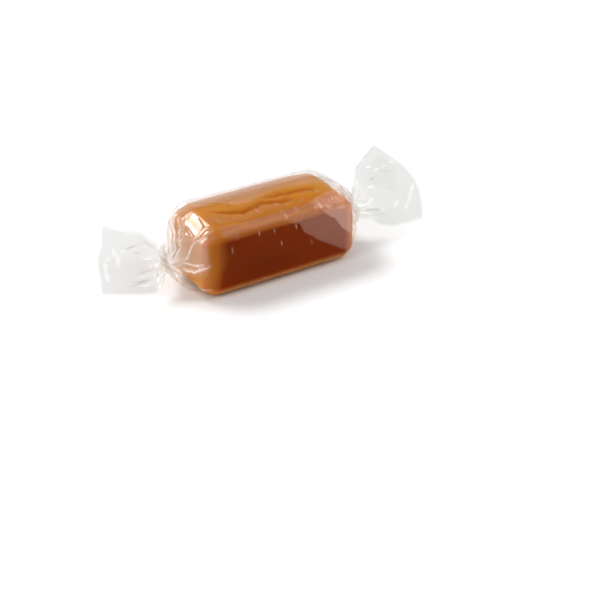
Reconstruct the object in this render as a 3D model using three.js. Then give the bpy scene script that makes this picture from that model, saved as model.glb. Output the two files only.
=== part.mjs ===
// A soft caramel in a clear twist wrapper.
//
// The sweet is a short bar with softly rounded edges. Its wrapper is one tube of clear film that is
// snug round the bar, gathered in pleats over each end face, wrung to a thin neck, and left to spread
// beyond it in a flattened fan with a straight cut edge. The wrapper is open all the way along: a hair
// lumen is left through both necks, as film that is wrung is not welded.
//
// Millimetres, +Z up. The bar lies along X on its flat underside, and the origin is at the middle of
// the wrapper's footprint, on the surface it rests on. -Y is the front.

import * as THREE from "three";
import { LoftGeometry } from "three/addons/geometries/LoftGeometry.js";

const { abs, cos, exp, hypot, max, pow, sin, PI } = Math;
const { degToRad, lerp, smoothstep } = THREE.MathUtils;

// ---------- driving sizes ----------

const CARAMEL = {
  length: 34,
  width: 15.1,
  height: 14.3,
  rounding: 3.3, // radius of every edge
  barrel: 0.012, // how much fuller the middle is than the ends, as a share
  furrowDepth: 0.3, // of the soft folds that run along the top
  furrowWidth: 1,
  furrowPlaces: [-2.6, 1.9], // Y of each fold
  furrowDrift: 0.5, // how far each one wanders to either side
  furrowWander: 2.2, // radians of that wandering from the bar's middle to its end
  steps: [22, 10, 10], // mesh steps along X, Y and Z
};

const FILM = {
  wall: 0.25, // the film, drawn thicker than its real 0.03 so that it is a sound solid
  slack: 0.35, // air between the caramel and the film
  squareness: 5.5, // exponent of the sleeve's section: 2 is round, more is squarer
  flat: 0.05, // how much the underside is pressed flat
  around: 48, // mesh steps round the tube
  pleats: 12, // folds that gather the film at each end
  lapHeight: 0.28, // the step where the film's long edges overlap
  lapFrom: degToRad(-42), // the overlap lies low at the back
  lapTo: degToRad(-8),
};

const NECK = {
  radius: 1.5,
  lumen: 0.4, // radius of the passage left through the wrung film
  length: 1.8,
  gatherStart: 1.8, // the film starts to turn in this far before the bar's end
  shoulder: 0.25, // how softly it turns: 0 is a sharp bend into a straight cone
  pleatDepth: 0.13, // share of the radius
  grooves: 5, // twisted ropes of film round the neck
  grooveDepth: 0.13,
  waist: 0.12, // how much thinner the neck is at its middle, as a share
  wring: degToRad(150), // how far the film is turned between the bar and the fan
  swirl: 0.35, // the share of that turn taken up before the neck
};

// Each fan spreads from the end of its neck in its own frame: outward, to the back, and up. Above and
// below its middle it widens by the width given, most of it within the swell's distance of the neck,
// and by the splay's share of the distance after that. In degrees, roll leans the fan to the back,
// lift tips it up and swing turns it to the back.
const FANS = {
  left: {
    side: -1,
    gather: 6.2, // from where the film starts to turn in to the neck
    drop: 0.3, // how far the neck hangs below the bar's axis
    reach: 11.3, // from the neck to the middle of the cut edge
    upper: { width: 4.3, swell: 2.4, splay: 0.12 },
    lower: { width: 4.4, swell: 0.5, splay: 0 },
    bow: 0.02, // how much shorter the film is at its folded sides, as a share
    puff: 1.5, // half the thickness that the loosely folded film stands open
    wave: 0.9, // how far the whole fan ripples
    roll: 23,
    lift: 12,
    swing: 8,
  },
  right: {
    side: 1,
    gather: 4.8,
    drop: 1.1,
    reach: 14.2,
    upper: { width: 5, swell: 3.4, splay: 0.16 },
    lower: { width: 5.8, swell: 3.4, splay: 0.16 },
    bow: 0.2,
    puff: 1.6,
    wave: -0.8,
    roll: 32,
    lift: 19,
    swing: 0,
  },
};

const FAN_FOLDS = {
  swellPower: 1.4, // how abruptly a fan opens
  creaseDepth: 0.3, // of the pleats that run on from the neck, as a share of the puff
  creaseGrown: 0.4, // the share of the fan in which they reach that depth
  settled: 0.3, // the share of the fan in which the bunched film comes apart
  ripple: 2.4, // radians of the ripple from the fan's middle to its side
  ripplePhase: 0.7,
};

// Mesh steps along each stretch of the film, drawn together next to the neck.
const STEPS = { sleeve: 6, gather: 8, neck: 4, fan: 9 };
const FAN_STEP_POWER = 1.5;

// ---------- small helpers ----------

// A folded line: runs from -1 to 1 and back once in each whole turn.
const zigzag = (turns) => 1 - 4 * abs(turns - Math.floor(turns) - 0.5);

// The pleats of the gathered film, from -1 to 1, with some deeper than others.
function pleatAt(angle) {
  const uneven = 0.68 + 0.2 * cos(3 * angle + 1) + 0.12 * cos(5 * angle + 2.6);
  return zigzag((FILM.pleats * angle) / (2 * PI)) * uneven;
}

// Distance from the axis to a rounded rectangle in one direction.
function sectionRadius(angle, halfWidth, halfHeight, squareness) {
  const across = pow(abs(cos(angle)) / halfWidth, squareness);
  const upward = pow(abs(sin(angle)) / halfHeight, squareness);
  return pow(across + upward, -1 / squareness);
}

const polar = (x, angle, radius) =>
  new THREE.Vector3(x, cos(angle) * radius, sin(angle) * radius);

// ---------- the caramel ----------

function caramelGeometry() {
  const { length, width, height, rounding, steps } = CARAMEL;
  const geometry = new THREE.BoxGeometry(length, width, height, ...steps);
  const core = new THREE.Vector3(length, width, height)
    .multiplyScalar(0.5)
    .subScalar(rounding);
  const places = geometry.getAttribute("position");
  const point = new THREE.Vector3();
  for (let i = 0; i < places.count; i++) {
    point.fromBufferAttribute(places, i);
    const inner = point.clone().clamp(core.clone().negate(), core);
    point.sub(inner).setLength(rounding).add(inner);
    workCaramel(point);
    places.setXYZ(i, point.x, point.y, point.z);
  }
  geometry.computeVertexNormals();
  return geometry;
}

// The bar is cut and shaped soft: it is a little fuller at its middle, and folds run along its top.
function workCaramel(point) {
  const { length, height, barrel } = CARAMEL;
  const { furrowDepth, furrowWidth, furrowPlaces, furrowDrift, furrowWander } = CARAMEL;
  const along = (2 * point.x) / length;
  const full = 1 + barrel * (1 - 2 * along * along);
  point.y *= full;
  point.z *= point.z > 0 ? full : 1;
  const topness = smoothstep(point.z, 0.3 * height, 0.48 * height);
  const fade = 1 - along * along;
  for (const place of furrowPlaces) {
    const line = place + furrowDrift * sin(furrowWander * along + place);
    const away = (point.y - line) / furrowWidth;
    point.z -= furrowDepth * topness * fade * exp(-away * away);
  }
}

// ---------- the wrapper ----------

// How thick the film stands: one sheet on the bar, bunched solid round the lumen in the neck.
const bunched = (share) =>
  lerp(FILM.wall, NECK.radius - NECK.lumen, share * share);

const sleeveHalfWidth = CARAMEL.width / 2 + FILM.slack + FILM.wall;
const sleeveHalfHeight = CARAMEL.height / 2 + FILM.slack + FILM.wall;
const sleeveEnd = CARAMEL.length / 2 - NECK.gatherStart;
const restHeight = sleeveHalfHeight - FILM.flat;

// The radius of the snug sleeve, with the step of the overlap on the outside.
function sleeveRadius(angle, outside) {
  const radius = sectionRadius(
    angle,
    sleeveHalfWidth,
    sleeveHalfHeight,
    FILM.squareness,
  );
  const turned = angle > PI ? angle - 2 * PI : angle;
  const lapped = turned > FILM.lapFrom && turned < FILM.lapTo;
  return radius + (outside && lapped ? FILM.lapHeight : 0);
}

// Presses a point of the film up to the flat underside that the sweet rests on.
function rested(point, outside) {
  point.z = max(point.z, (outside ? 0 : FILM.wall) - restHeight);
  return point;
}

function sleevePoint(x, angle, outside) {
  const radius = sleeveRadius(angle, outside) - (outside ? 0 : FILM.wall);
  return rested(polar(x, angle, radius), outside);
}

// From the sleeve (share 0) to the neck (share 1), in pleats that begin to swirl.
function gatherPoint(fan, share, angle, outside) {
  const { radius, shoulder, pleatDepth, wring, swirl } = NECK;
  const turnedIn = (hypot(share, shoulder) - shoulder) / (hypot(1, shoulder) - shoulder);
  const depth = pleatDepth * sin(PI * share) * share;
  const smooth = lerp(sleeveRadius(angle, outside), radius, turnedIn);
  const pleated = smooth * (1 + depth * pleatAt(angle));
  const inset = outside ? 0 : bunched(share);
  const x = sleeveEnd + fan.gather * share;
  const swirled = angle + wring * swirl * share * share;
  const point = polar(fan.side * x, swirled, pleated - inset);
  point.z -= fan.drop * turnedIn;
  return rested(point, outside);
}

// The wrung neck: ropes of film that wind round a hair lumen.
function neckPoint(fan, share, angle, outside) {
  const { radius, lumen, length, grooves, grooveDepth, waist, wring, swirl } = NECK;
  const thinned = radius * (1 - waist * sin(PI * share));
  const roped = thinned * (1 + grooveDepth * cos(grooves * angle));
  const wound = angle + wring * lerp(swirl, 1, share);
  const x = sleeveEnd + fan.gather + length * share;
  const point = polar(fan.side * x, wound, outside ? roped : lumen);
  point.z -= fan.drop;
  return point;
}

// A fan: the tube pressed flat and spread, its two layers loosely apart, from the neck (share 0) to
// the cut edge (share 1).
function fanPoint(fan, share, angle, outside) {
  const { swellPower, creaseDepth, creaseGrown, settled, ripple, ripplePhase } = FAN_FOLDS;
  const wound = angle + NECK.wring;
  const across = sin(wound); // -1 at the lower folded side, 1 at the upper
  const layer = cos(wound); // negative on the front layer
  const apart = smoothstep(share, 0, settled);
  const inset = outside ? 0 : lerp(bunched(1), FILM.wall, apart);

  const { width, swell, splay } = across > 0 ? fan.upper : fan.lower;
  const gone = fan.reach * pow(share, FAN_STEP_POWER);
  const outward = gone * (1 - fan.bow * across * across);
  const widened = (width + splay * gone) * (1 - exp(-pow(gone / swell, swellPower)));
  const upward = across * (NECK.radius + widened - inset);

  const crease = 1 + creaseDepth * smoothstep(share, 0, creaseGrown) * pleatAt(angle);
  const open = lerp(NECK.radius, fan.puff * crease, apart);
  const flutter = fan.wave * share * share * sin(ripple * across + ripplePhase);
  const depth = (open - inset) * layer + flutter;
  return fanTurned(fan, new THREE.Vector3(outward, depth, upward));
}

// Turns a fan's own frame (outward, back, up) about the end of its neck.
function fanTurned(fan, point) {
  const lean = new THREE.Euler(
    degToRad(-fan.roll),
    degToRad(-fan.lift),
    degToRad(fan.swing),
    "ZYX",
  );
  point.applyEuler(lean);
  const neckEnd = sleeveEnd + fan.gather + NECK.length;
  return point.set(fan.side * (neckEnd + point.x), point.y, point.z - fan.drop);
}

// One end's rings from the sleeve outwards, each as a function of the angle.
function endRings(fan, outside) {
  const shares = (count) =>
    Array.from({ length: count }, (_, i) => (i + 1) / count);
  return [
    ...shares(STEPS.gather).map((share) => (angle) => gatherPoint(fan, share, angle, outside)),
    ...shares(STEPS.neck).map((share) => (angle) => neckPoint(fan, share, angle, outside)),
    ...shares(STEPS.fan).map((share) => (angle) => fanPoint(fan, share, angle, outside)),
  ];
}

// Every ring of one face of the film, from the left cut edge to the right one.
function filmRings(outside) {
  const sleeve = Array.from({ length: STEPS.sleeve + 1 }, (_, i) => {
    const x = lerp(-sleeveEnd, sleeveEnd, i / STEPS.sleeve);
    return (angle) => sleevePoint(x, angle, outside);
  });
  return [
    ...endRings(FANS.left, outside).reverse(),
    ...sleeve,
    ...endRings(FANS.right, outside),
  ];
}

// The film as one closed surface: out along its outside, back along its inside, and round again.
function wrapperGeometry() {
  const rings = [...filmRings(true), ...filmRings(false).reverse()];
  const sections = [...rings, rings[0]].map((ring) =>
    Array.from({ length: FILM.around }, (_, i) => ring((2 * PI * i) / FILM.around)),
  );
  return new LoftGeometry(sections);
}

// ---------- the sweet ----------

const caramel = new THREE.Mesh(
  caramelGeometry(),
  new THREE.MeshStandardMaterial({ color: 0xb8702a, roughness: 0.38, metalness: 0 }),
);
caramel.name = "caramel";

const wrapper = new THREE.Mesh(
  wrapperGeometry(),
  new THREE.MeshStandardMaterial({
    color: 0xf1f1ee,
    roughness: 0.12,
    metalness: 0,
    transparent: true,
    opacity: 0.3,
  }),
);
wrapper.name = "wrapper";

const sweet = new THREE.Group();
sweet.add(caramel, wrapper);

const extent = new THREE.Box3().setFromObject(wrapper);
const middle = extent.getCenter(new THREE.Vector3());
sweet.position.set(-middle.x, -middle.y, restHeight);

export default sweet;
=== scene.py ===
"""The looks of the wrapped caramel: a soft caramel bar seen through a clear twisted film."""

import math

import bpy
import numpy as np
from mathutils import Euler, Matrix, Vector
from mathutils.geometry import delaunay_2d_cdt


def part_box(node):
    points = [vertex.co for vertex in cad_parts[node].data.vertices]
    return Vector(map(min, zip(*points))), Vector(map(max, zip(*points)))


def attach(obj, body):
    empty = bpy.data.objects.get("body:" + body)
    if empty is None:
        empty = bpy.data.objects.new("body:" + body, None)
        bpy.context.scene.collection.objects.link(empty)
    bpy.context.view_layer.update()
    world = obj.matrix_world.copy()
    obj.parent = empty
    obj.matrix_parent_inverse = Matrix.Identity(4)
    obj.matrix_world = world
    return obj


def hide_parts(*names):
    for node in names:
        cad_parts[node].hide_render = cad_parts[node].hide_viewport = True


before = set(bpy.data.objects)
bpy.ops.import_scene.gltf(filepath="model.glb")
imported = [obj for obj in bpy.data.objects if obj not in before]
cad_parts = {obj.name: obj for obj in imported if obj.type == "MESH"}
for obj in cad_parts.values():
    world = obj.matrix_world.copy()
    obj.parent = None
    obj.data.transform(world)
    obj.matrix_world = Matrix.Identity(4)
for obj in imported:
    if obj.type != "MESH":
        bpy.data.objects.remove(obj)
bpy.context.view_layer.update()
MM = 0.001
CARAMEL_LOW, CARAMEL_HIGH = (np.array(corner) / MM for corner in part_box("caramel"))
MIDDLE_HEIGHT = 7.7
# The bar's middle, from which all millimetre coordinates below are counted.
BAR_MIDDLE = np.array([*(CARAMEL_LOW + CARAMEL_HIGH)[:2] / 2, MIDDLE_HEIGHT])
SEED = 11

# Driving dimensions, in millimetres. The bar's bevel is the power of its rounded edges (1 is flat, 2 is
# round), its barrel the share by which the middle bulges, its crown how far the top falls to the front and
# the back. The cuts are how far its ends slope in at the top, which also falls by the far cut at that end.
# Cells are the mesh's steps along, across and up.
CARAMEL = dict(size=(34.5, 15.5, 14.7), rounding=(3.2, 2.1, 2.3), bevel=1.4, barrel=0.006,
               crown=(0.9, 0.2), far_cut=0.8, near_cut=0.4, cells=(150, 64, 60), weld=0.001)
HALF_SIZE = np.array(CARAMEL["size"]) / 2
# The film's sleeve runs to each side as far as its end; a squareness of 2 would make it oval. Its long edges
# overlap between the lap's two angles. It stands off the bar by the gap, with the back gap added at the top's
# back and the end gap at its near end.
FILM = dict(half_width=8.0, half_height=7.6, squareness=5.2, end=15.3, spacing=0.22, clearance=0.12,
            lap=(math.radians(-42), math.radians(-8)), lap_gap=0.12, off_floor=0.04, gap=0.24, back_gap=0.42,
            end_gap=0.15)
# Grooves along the bar's top: path as (along, across), depth, half-width.
GROOVES = (
    (((-13, 0.5), (-10.4, -1.4), (-7, -3.1), (-4.8, -3.0), (-1.5, -2.0), (1.9, -3.2), (6, -3.5)), 0.3, 0.7),
    (((-1.5, -0.5), (3.3, -0.9), (7.7, -1.3), (12.5, -2.3)), 0.28, 0.8),
    (((-11, -5.0), (-7.7, -5.9), (-4.1, -6.2), (4.5, -6.1), (9.5, -5.7), (14, -5.3)), 0.12, 0.6),
)
# Every line along the bar wavers a little: height, rate along the bar, start.
WAVER = ((0.12, 2.3, 0), (0.08, 5.1, 1))
# Lines on the bar's top, as (along, across): the film stands off the bar behind the first and lies on it from
# there forward; between the second and the third it carries a painted highlight, hazier and shinier.
TOUCH = (
    ((-15, 5), (-11.9, 3.7), (-8.8, 1.4), (-6.8, -0.9), (-3.7, -1.4), (-0.4, -0.3), (4.4, 0.8), (8.5, -0.1),
     (12.2, -0.9), (15, -1.5)),
    ((-15, -1.5), (-10.5, -2.4), (-7.6, -4.0), (-4.6, -3.4), (-1.9, -2.8), (1.5, -3.7), (4.7, -4.2),
     (9, -5.1)),
    ((-15, -4.6), (-11.9, -4.8), (-7.5, -5.8), (-3.4, -5.2), (0.6, -5.2), (4.2, -4.9), (9, -5.0)),
)
# A painted reflection: above these lines, as (along, up), the film over the bar's front gets that much warm
# haze.
FRONT_REFLECTION_VEILS = (
    (((5, 9), (6.1, 7.3), (7.1, 6.0), (11.1, 3.0), (13.5, 0.0), (16, -2.5)), 0.45),
    (((-3, 9), (-2.2, 5.2), (-0.4, 5.5), (3.4, 3.8), (4.1, 2.1), (8, -1), (12, -3.5), (16, -6)), 0.17),
)
# The same painted reflection along the bar's upper front edge, in front of this line, as (along, across), and
# how much more so at the far end.
EDGE_REFLECTION_VEIL = (((-13, -5.5), (-5, -5.8), (5, -5.7), (9, -5.0), (12.5, -4.2), (15, -3.2)), 0.1, 2.2)
# Each neck narrows by that share in its middle, and is wrung by that turn, of which the swirl's share lies in
# the gather before it.
NECK = dict(length=1.8, narrowing=0.12, wring=math.radians(115), swirl=0.46)
# The film's ends, in millimetres and degrees. Each is gathered over that length to the neck's radius, fuller
# for more bulge, and drops that far below the bar's middle. The tail beyond has the given turn, and its two
# layers stand off its plane by the puff.
# Tail: points are (outward, upward) in its own plane, counted from the neck. Upper and lower run from the
# neck to the cut edge's corners, and cut runs up along the cut edge. Bends are (across from -1 to 1, height,
# start from 0 to 1), creases (start, end, height, width), shades (corners, dullness). Raised creases carry
# painted highlights and sunk ones painted dark reflections.
# Gather: points are (outward from the sleeve's end, degrees round the film), with 90 at the top and 180 at
# the front. Facets are (corners, direction they face, paleness), folds (path, height, width, paleness); their
# paleness is a painted glint.
LEFT_END = dict(
    side=-1, gather=6.1, bulge=1.15, drop=0.3, neck=1.8, turn=(-23, -12, 8), puff=0.55, seed=5,
    upper=((0, 1.8), (0.8, 3.5), (3.8, 5.9), (11.1, 6.9)),
    lower=((-0.6, -1.8), (-1.3, -4.1), (0.5, -6.0), (6.7, -6.2), (11.1, -6.0)),
    cut=((11.1, -6.0), (11.6, -2.8), (12.0, 0.6), (11.3, 3.8), (11.1, 6.9)),
    bends=((-0.05, 0.18, 0.2), (0.5, -0.12, 0.0), (-0.6, -0.12, 0.3)),
    creases=(((7.4, 2.3), (4.0, 3.4), -0.12, 0.35), ((5.2, 1.6), (3.8, 2.1), -0.1, 0.3),
             ((9.5, 1.2), (10.5, 0.1), 0.1, 0.4), ((10.4, 0.3), (10.5, -1.9), 0.1, 0.5),
             ((10.5, -1.3), (10.0, -3.8), 0.1, 0.5), ((9.1, 3.0), (8.8, 0.7), 0.1, 0.32),
             ((8.4, 2.5), (8.0, -1.3), 0.1, 0.28), ((7.6, 1.8), (7.9, -1.0), 0.08, 0.24),
             ((7.7, 1.6), (6.4, 2.9), 0.08, 0.24), ((4.5, -2.9), (0.3, -2.1), 0.1, 0.3),
             ((5.2, -3.8), (1.5, -3.2), -0.1, 0.3), ((4.5, -4.4), (0.8, -4.1), 0.1, 0.3),
             ((-0.9, -1.1), (0.4, -5.8), 0.2, 0.5), ((-1.5, -0.5), (-0.7, -2.8), 0.15, 0.3),
             ((0.5, -1.0), (4.6, -2.3), -0.06, 0.22), ((0.6, 1.3), (3.6, 3.2), 0.08, 0.3),
             ((0.9, 2.4), (3.2, 4.4), -0.06, 0.22), ((0.7, -3.0), (3.4, -5.3), 0.08, 0.25),
             ((0.6, 0.3), (4.0, 0.9), 0.08, 0.35), ((2.2, -3.4), (6.0, -4.6), -0.06, 0.22)),
    shades=((((0.3, 1.0), (1.0, 3.2), (3.6, 5.2), (4.4, 3.4), (2.2, 0.6)), 0.12),),
    facets=((((3.3, 104), (3.1, 80), (2.4, 74), (-0.4, 79), (-0.7, 86), (0.2, 115), (1.3, 120),
              (3.1, 117)), (-0.485, -0.173, 0.857), 0.16),
            (((2.2, 52), (1.8, 70), (4.2, 110), (6.8, 112), (7.4, 85), (4.6, 58)),
             (-0.80, 0.15, 0.58), 0),
            (((4.0, 128), (2.4, 140), (2.0, 171), (3.7, 164), (5.5, 139)), (-0.76, -0.62, 0.2), 0),
            (((6.5, 184), (3.3, 199), (1.5, 208), (1.1, 198), (2.0, 183)), (-0.66, -0.68, -0.3), 0)),
    folds=((((2.9, 65), (1.3, 74), (-0.2, 79)), 0.2, 0.3, 0.7),
           (((2.6, 71), (1.3, 81), (0, 83)), 0.15, 0.25, 0.6),
           (((2.6, 48), (5.3, 58), (7.3, 81)), 0.25, 0.35, 0.8),
           (((4.6, 62), (5.7, 73), (6.8, 89)), 0.15, 0.25, 0.5),
           (((3.5, 64), (5.1, 74), (6.6, 95)), 0.15, 0.25, 0.5),
           (((6.8, 115), (5.9, 104), (4.8, 106)), 0.15, 0.3, 0.7),
           (((7.5, 143), (5.9, 134), (5.1, 129), (3.7, 124)), 0.2, 0.3, 0.7),
           (((3.7, 118), (2.0, 121), (1.1, 121), (-0.2, 123)), 0.2, 0.3, 0.8),
           (((4.0, 124), (2.9, 126), (2.0, 127), (-0.2, 130)), 0.15, 0.25, 0.5),
           (((2.9, 129), (2.0, 131), (1.3, 133)), 0.2, 0.45, 0.9),
           (((7.0, 149), (5.9, 156), (4.6, 165), (2.6, 174)), 0.2, 0.25, 0.6),
           (((7.0, 176), (5.9, 180), (4.6, 181), (2.6, 177), (1.5, 176)), 0.25, 0.35, 0.9),
           (((6.2, 159), (4.8, 173), (3.1, 174)), 0.1, 0.3, 0.7),
           (((3.5, 209), (2.4, 215), (1.1, 214)), 0.15, 0.25, 0.6),
           (((9.7, 184), (7.7, 217), (5.7, 224)), 0.15, 0.3, 0.6),
           (((5.1, 43), (7.9, 32), (10.6, 24)), 0.25, 0.5, 0.9),
           (((4.2, 48), (7.3, 58), (9.5, 64)), 0.2, 0.3, 0.7)))
RIGHT_END = dict(
    side=1, gather=4.7, bulge=1.75, drop=1.1, neck=1.4, turn=(-32, -19, 0), puff=0.6, seed=9,
    upper=((0.2, 1.6), (1.9, 4.3), (4.9, 7.1), (7.6, 8.2), (10.8, 8.9)),
    lower=((0, -1.4), (0.9, -1.9), (3.0, -5.6), (4.9, -7.3), (8.1, -8.6), (11.6, -9.6)),
    cut=((11.6, -9.6), (13.0, -7.4), (14.4, -4.2), (14.8, -1.6), (14.3, 1.8), (13.4, 3.9), (10.8, 8.9)),
    bends=((0.35, 0.15, 0.2), (-0.2, -0.12, 0.1), (-0.6, 0.1, 0.2)),
    creases=(((6.6, 6.1), (8.1, 5.3), 0.1, 0.35), ((7.8, 4.4), (9.2, 4.4), 0.12, 0.4),
             ((11.8, 4.1), (12.8, 3.9), 0.1, 0.4), ((5.8, 3.3), (7.5, 3.2), -0.12, 0.3),
             ((14.1, -2.0), (12.2, -3.9), 0.14, 0.5), ((12.9, -3.3), (10.7, -5.0), 0.12, 0.4),
             ((11.0, -4.8), (9.2, -5.9), 0.1, 0.35), ((9.7, 4.2), (10.7, 4.1), 0.08, 0.3),
             ((9.0, 4.0), (11.2, 2.0), -0.06, 0.24), ((9.3, -3.2), (7.5, -4.3), 0.14, 0.5),
             ((4.6, 2.5), (6.3, 1.6), 0.1, 0.4), ((4.7, -1.9), (5.2, -4.0), 0.1, 0.4),
             ((4.0, 5.2), (2.1, 2.6), 0.15, 0.8), ((1.2, -1.0), (5.2, -3.2), -0.08, 0.4),
             ((1.4, 0.4), (4.6, 0.2), 0.08, 0.3), ((1.3, 1.2), (3.4, 2.4), -0.06, 0.22),
             ((1.5, -0.3), (4.2, -1.4), 0.08, 0.25)),
    shades=((((5.4, 2.6), (7.0, 5.6), (10.6, 6.8), (12.9, 2.6), (9.6, -1.6)), 0.18),
            (((1.0, -0.8), (2.6, -3.4), (5.6, -5.2), (5.0, -2.4)), 0.2)),
    facets=(), folds=())
ENDS = (LEFT_END, RIGHT_END)
BEND_WIDTH = 0.5
# Where the tails' looks begin: 1 is the start of the neck, 2 its end.
TAIL_FROM = 1.9

# Uneven detail, in millimetres, with angles in radians. Pleats are (count, height, half-width, start along
# the gather), and their depth is a share of the film's distance from the middle.
PLEATS = ((6, 1.0, 0.5, 0.0), (9, 0.5, 0.24, 0.25))
PLEAT_DEPTH = 0.13
# Flat folds, which carry the film round by this many of their widths and stand out by the rise.
LAID_FOLDS = dict(count=9, carry=1.7, rise=0.12)
# Thin folds that run from each neck over the bar's ends, between low and high.
PINCHES = dict(count=16, half_width=0.3, low=0.12, high=0.28)
# Tucks in the necks: depth as a share of the neck's radius, and how far they wind round it.
TUCKS = dict(count=7, depth=0.9, power=1.5, half_width=0.5, winding=1.6)
# Short wrinkles across the sleeve, between low and high; their paleness, a painted glint, is counted per
# millimetre of height.
NICKS = dict(count=40, low=0.02, high=0.055, paleness=9, palest=0.6)
# Soft dents: cells along and round the film, and height.
DENTS = (((26, 20), 0.045), ((90, 80), 0.02))
# Small flat facets between creases: their size in grid steps on the bar, how much smaller over the ends and
# larger in the tails, how much longer along the film, and how far their corners are shaken. So many places
# are tried for corners, and so many steps of that pull settle them.
FACETS = dict(size=12, smaller=7, larger=6, stretch=1.8, shake=0.12, tries=60000, steps=250, pull=1.6)

# Colours, as linear red, green and blue. Tones are (place in the pattern, colour).
CARAMEL_TONES = ((0.3, (0.48, 0.17, 0.018)), (0.5, (0.55, 0.215, 0.03)), (0.7, (0.63, 0.27, 0.055)))
# Painted shade on the bar's sides: darker, deeper tones.
FLANK_SHADE_TONES = ((0.3, (0.15, 0.013, 0.0004)), (0.72, (0.235, 0.027, 0.0008)))
# Painted shade in the grooves along the bar's top.
GROOVE_SHADE_COLOUR = (0.42, 0.11, 0.006, 1)
CARAMEL_ROUGHNESS = ((0.35, (0.24, 0.24, 0.24)), (0.7, (0.4, 0.4, 0.4)))
WHITE = (1, 1, 1, 1)
# The light that the film lets through.
SLEEVE_CLEAR = (0.96, 0.96, 0.955, 1)
GATHER_CLEAR = (1, 1, 0.997, 1)
TAIL_CLEAR = (0.886, 0.887, 0.882, 1)
DULL_CLEAR = (0.78, 0.78, 0.77, 1)
# The colours of its haze, of the painted reflection over the front, of the painted glints on raised creases
# over the bar, and of the shine where it is laid tight.
HAZE_COLOUR = (0.95, 0.93, 0.90, 1)
REFLECTION_VEIL_COLOUR = (1, 0.62, 0.5, 1)
GLINT_COLOUR = (1, 0.80, 0.68, 1)
TIGHT_SHINE = (1, 0.55, 0.3, 1)
FLOOR_COLOUR = (0.93, 0.93, 0.93, 1)

# The photograph's camera: place in metres, angles in degrees, lens and width of film in millimetres.
CAMERA = dict(place=(-0.1270, -0.2083, 0.1308), down=29.664, turn=32.985, lens=83.52, film=36)
# Lights: name, place, width and height in metres, power.
LIGHTS = (
    ("key", (-0.36, 0.65, 1.08), (0.7, 0.5), 11.8),
    ("reflector", (0.56, -0.56, 0.92), (0.4, 0.8), 4.2),
    ("fill", (-1.0, -0.3, 0.7), (0.8, 0.8), 4.7),
)
# The surround has the first brightness up to the first height, and falls to the second at the second height.
SURROUND = {"From Min": 0.1, "From Max": 0.5, "To Min": 0.95, "To Max": 0.24}
# The floor's side, in metres.
FLOOR_SIZE = 6


# --- small helpers ---

def smooth(x, low, high):
    t = np.clip((x - low) / (high - low), 0, 1)
    return t * t * (3 - 2 * t)


def angle_between(angle, middle):
    return (angle - middle + np.pi) % (2 * np.pi) - np.pi


def tent(angle, middle, width):
    """1 at the middle, falling in straight lines to 0 at width from it, round a circle."""
    return np.maximum(0, 1 - np.abs(angle_between(angle, middle)) / width)


def soft_noise(shape, cells, rng):
    """A smooth uneven field, about -1 to 1, over a grid of points."""
    coarse = rng.uniform(-1, 1, (cells[0] + 3, cells[1] + 3))

    def weights(count, cell_count):
        place = np.linspace(0, cell_count * 0.9999, count)
        first = place.astype(int)
        f = place - first
        before, after = 3 * f ** 3 - 6 * f ** 2 + 4, -3 * f ** 3 + 3 * f ** 2 + 3 * f + 1
        return first, np.stack([(1 - f) ** 3, before, after, f ** 3]) / 6

    i, wi = weights(shape[0], cells[0])
    j, wj = weights(shape[1], cells[1])
    rows = sum(wi[a][:, None] * coarse[i + a] for a in range(4))
    return 1.6 * sum(wj[b] * rows[:, j + b] for b in range(4))


def grid_normals(points):
    across = np.gradient(points, axis=1)
    along = np.gradient(points, axis=0)
    normal = np.cross(across, along)
    return normal / (np.linalg.norm(normal, axis=-1, keepdims=True) + 1e-9)


def grid_object(name, points, values):
    """A sheet of quads through a grid of points."""
    rows, columns = points.shape[:2]
    index = np.arange(rows * columns).reshape(rows, columns)
    corners = (index[:-1, :-1], index[:-1, 1:], index[1:, 1:], index[1:, :-1])
    faces = np.stack([c.ravel() for c in corners], -1)
    return mesh_object(name, points.reshape(-1, 3), faces, values)


def mesh_object(name, points, faces, values):
    """A smooth mesh with a value per point under each key."""
    mesh = bpy.data.meshes.new(name)
    mesh.from_pydata(((points + BAR_MIDDLE) * MM).tolist(), [], faces.tolist())
    for key, value in values.items():
        layer = mesh.attributes.new(key, "FLOAT", "POINT")
        layer.data.foreach_set("value", value.ravel().astype(np.float32))
    mesh.shade_smooth()
    piece = bpy.data.objects.new(name, mesh)
    bpy.context.scene.collection.objects.link(piece)
    return piece


# --- the caramel ---

def on_rounded_box(points, grown):
    """The nearest points on the bar's rounded box, grown by that much, and how far outside it they were."""
    rounding = np.array(CARAMEL["rounding"])
    core = HALF_SIZE - rounding
    power = CARAMEL["bevel"]
    inner = np.clip(points, -core, core)
    out = points - inner
    away = ((np.abs(out) / (rounding + grown)) ** power).sum(axis=-1, keepdims=True) ** (1 / power)
    return inner + out / np.maximum(away, 1e-6), away - 1


def crown(points):
    """How far the domed top of the bar lies below a flat one."""
    across = points[..., 1] / (HALF_SIZE[1] - CARAMEL["rounding"][1])
    depth = np.where(across < 0, *CARAMEL["crown"]) * np.minimum(across ** 2, 1.2)
    drop = np.zeros_like(points)
    drop[..., 2] = depth * smooth(points[..., 2], 0, HALF_SIZE[2])
    return drop


def around_bar(points, grown):
    """The nearest points at a distance from the bar's domed form, and how far outside that they were."""
    surface, away = on_rounded_box(points + crown(points), grown)
    return surface - crown(surface), away


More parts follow.
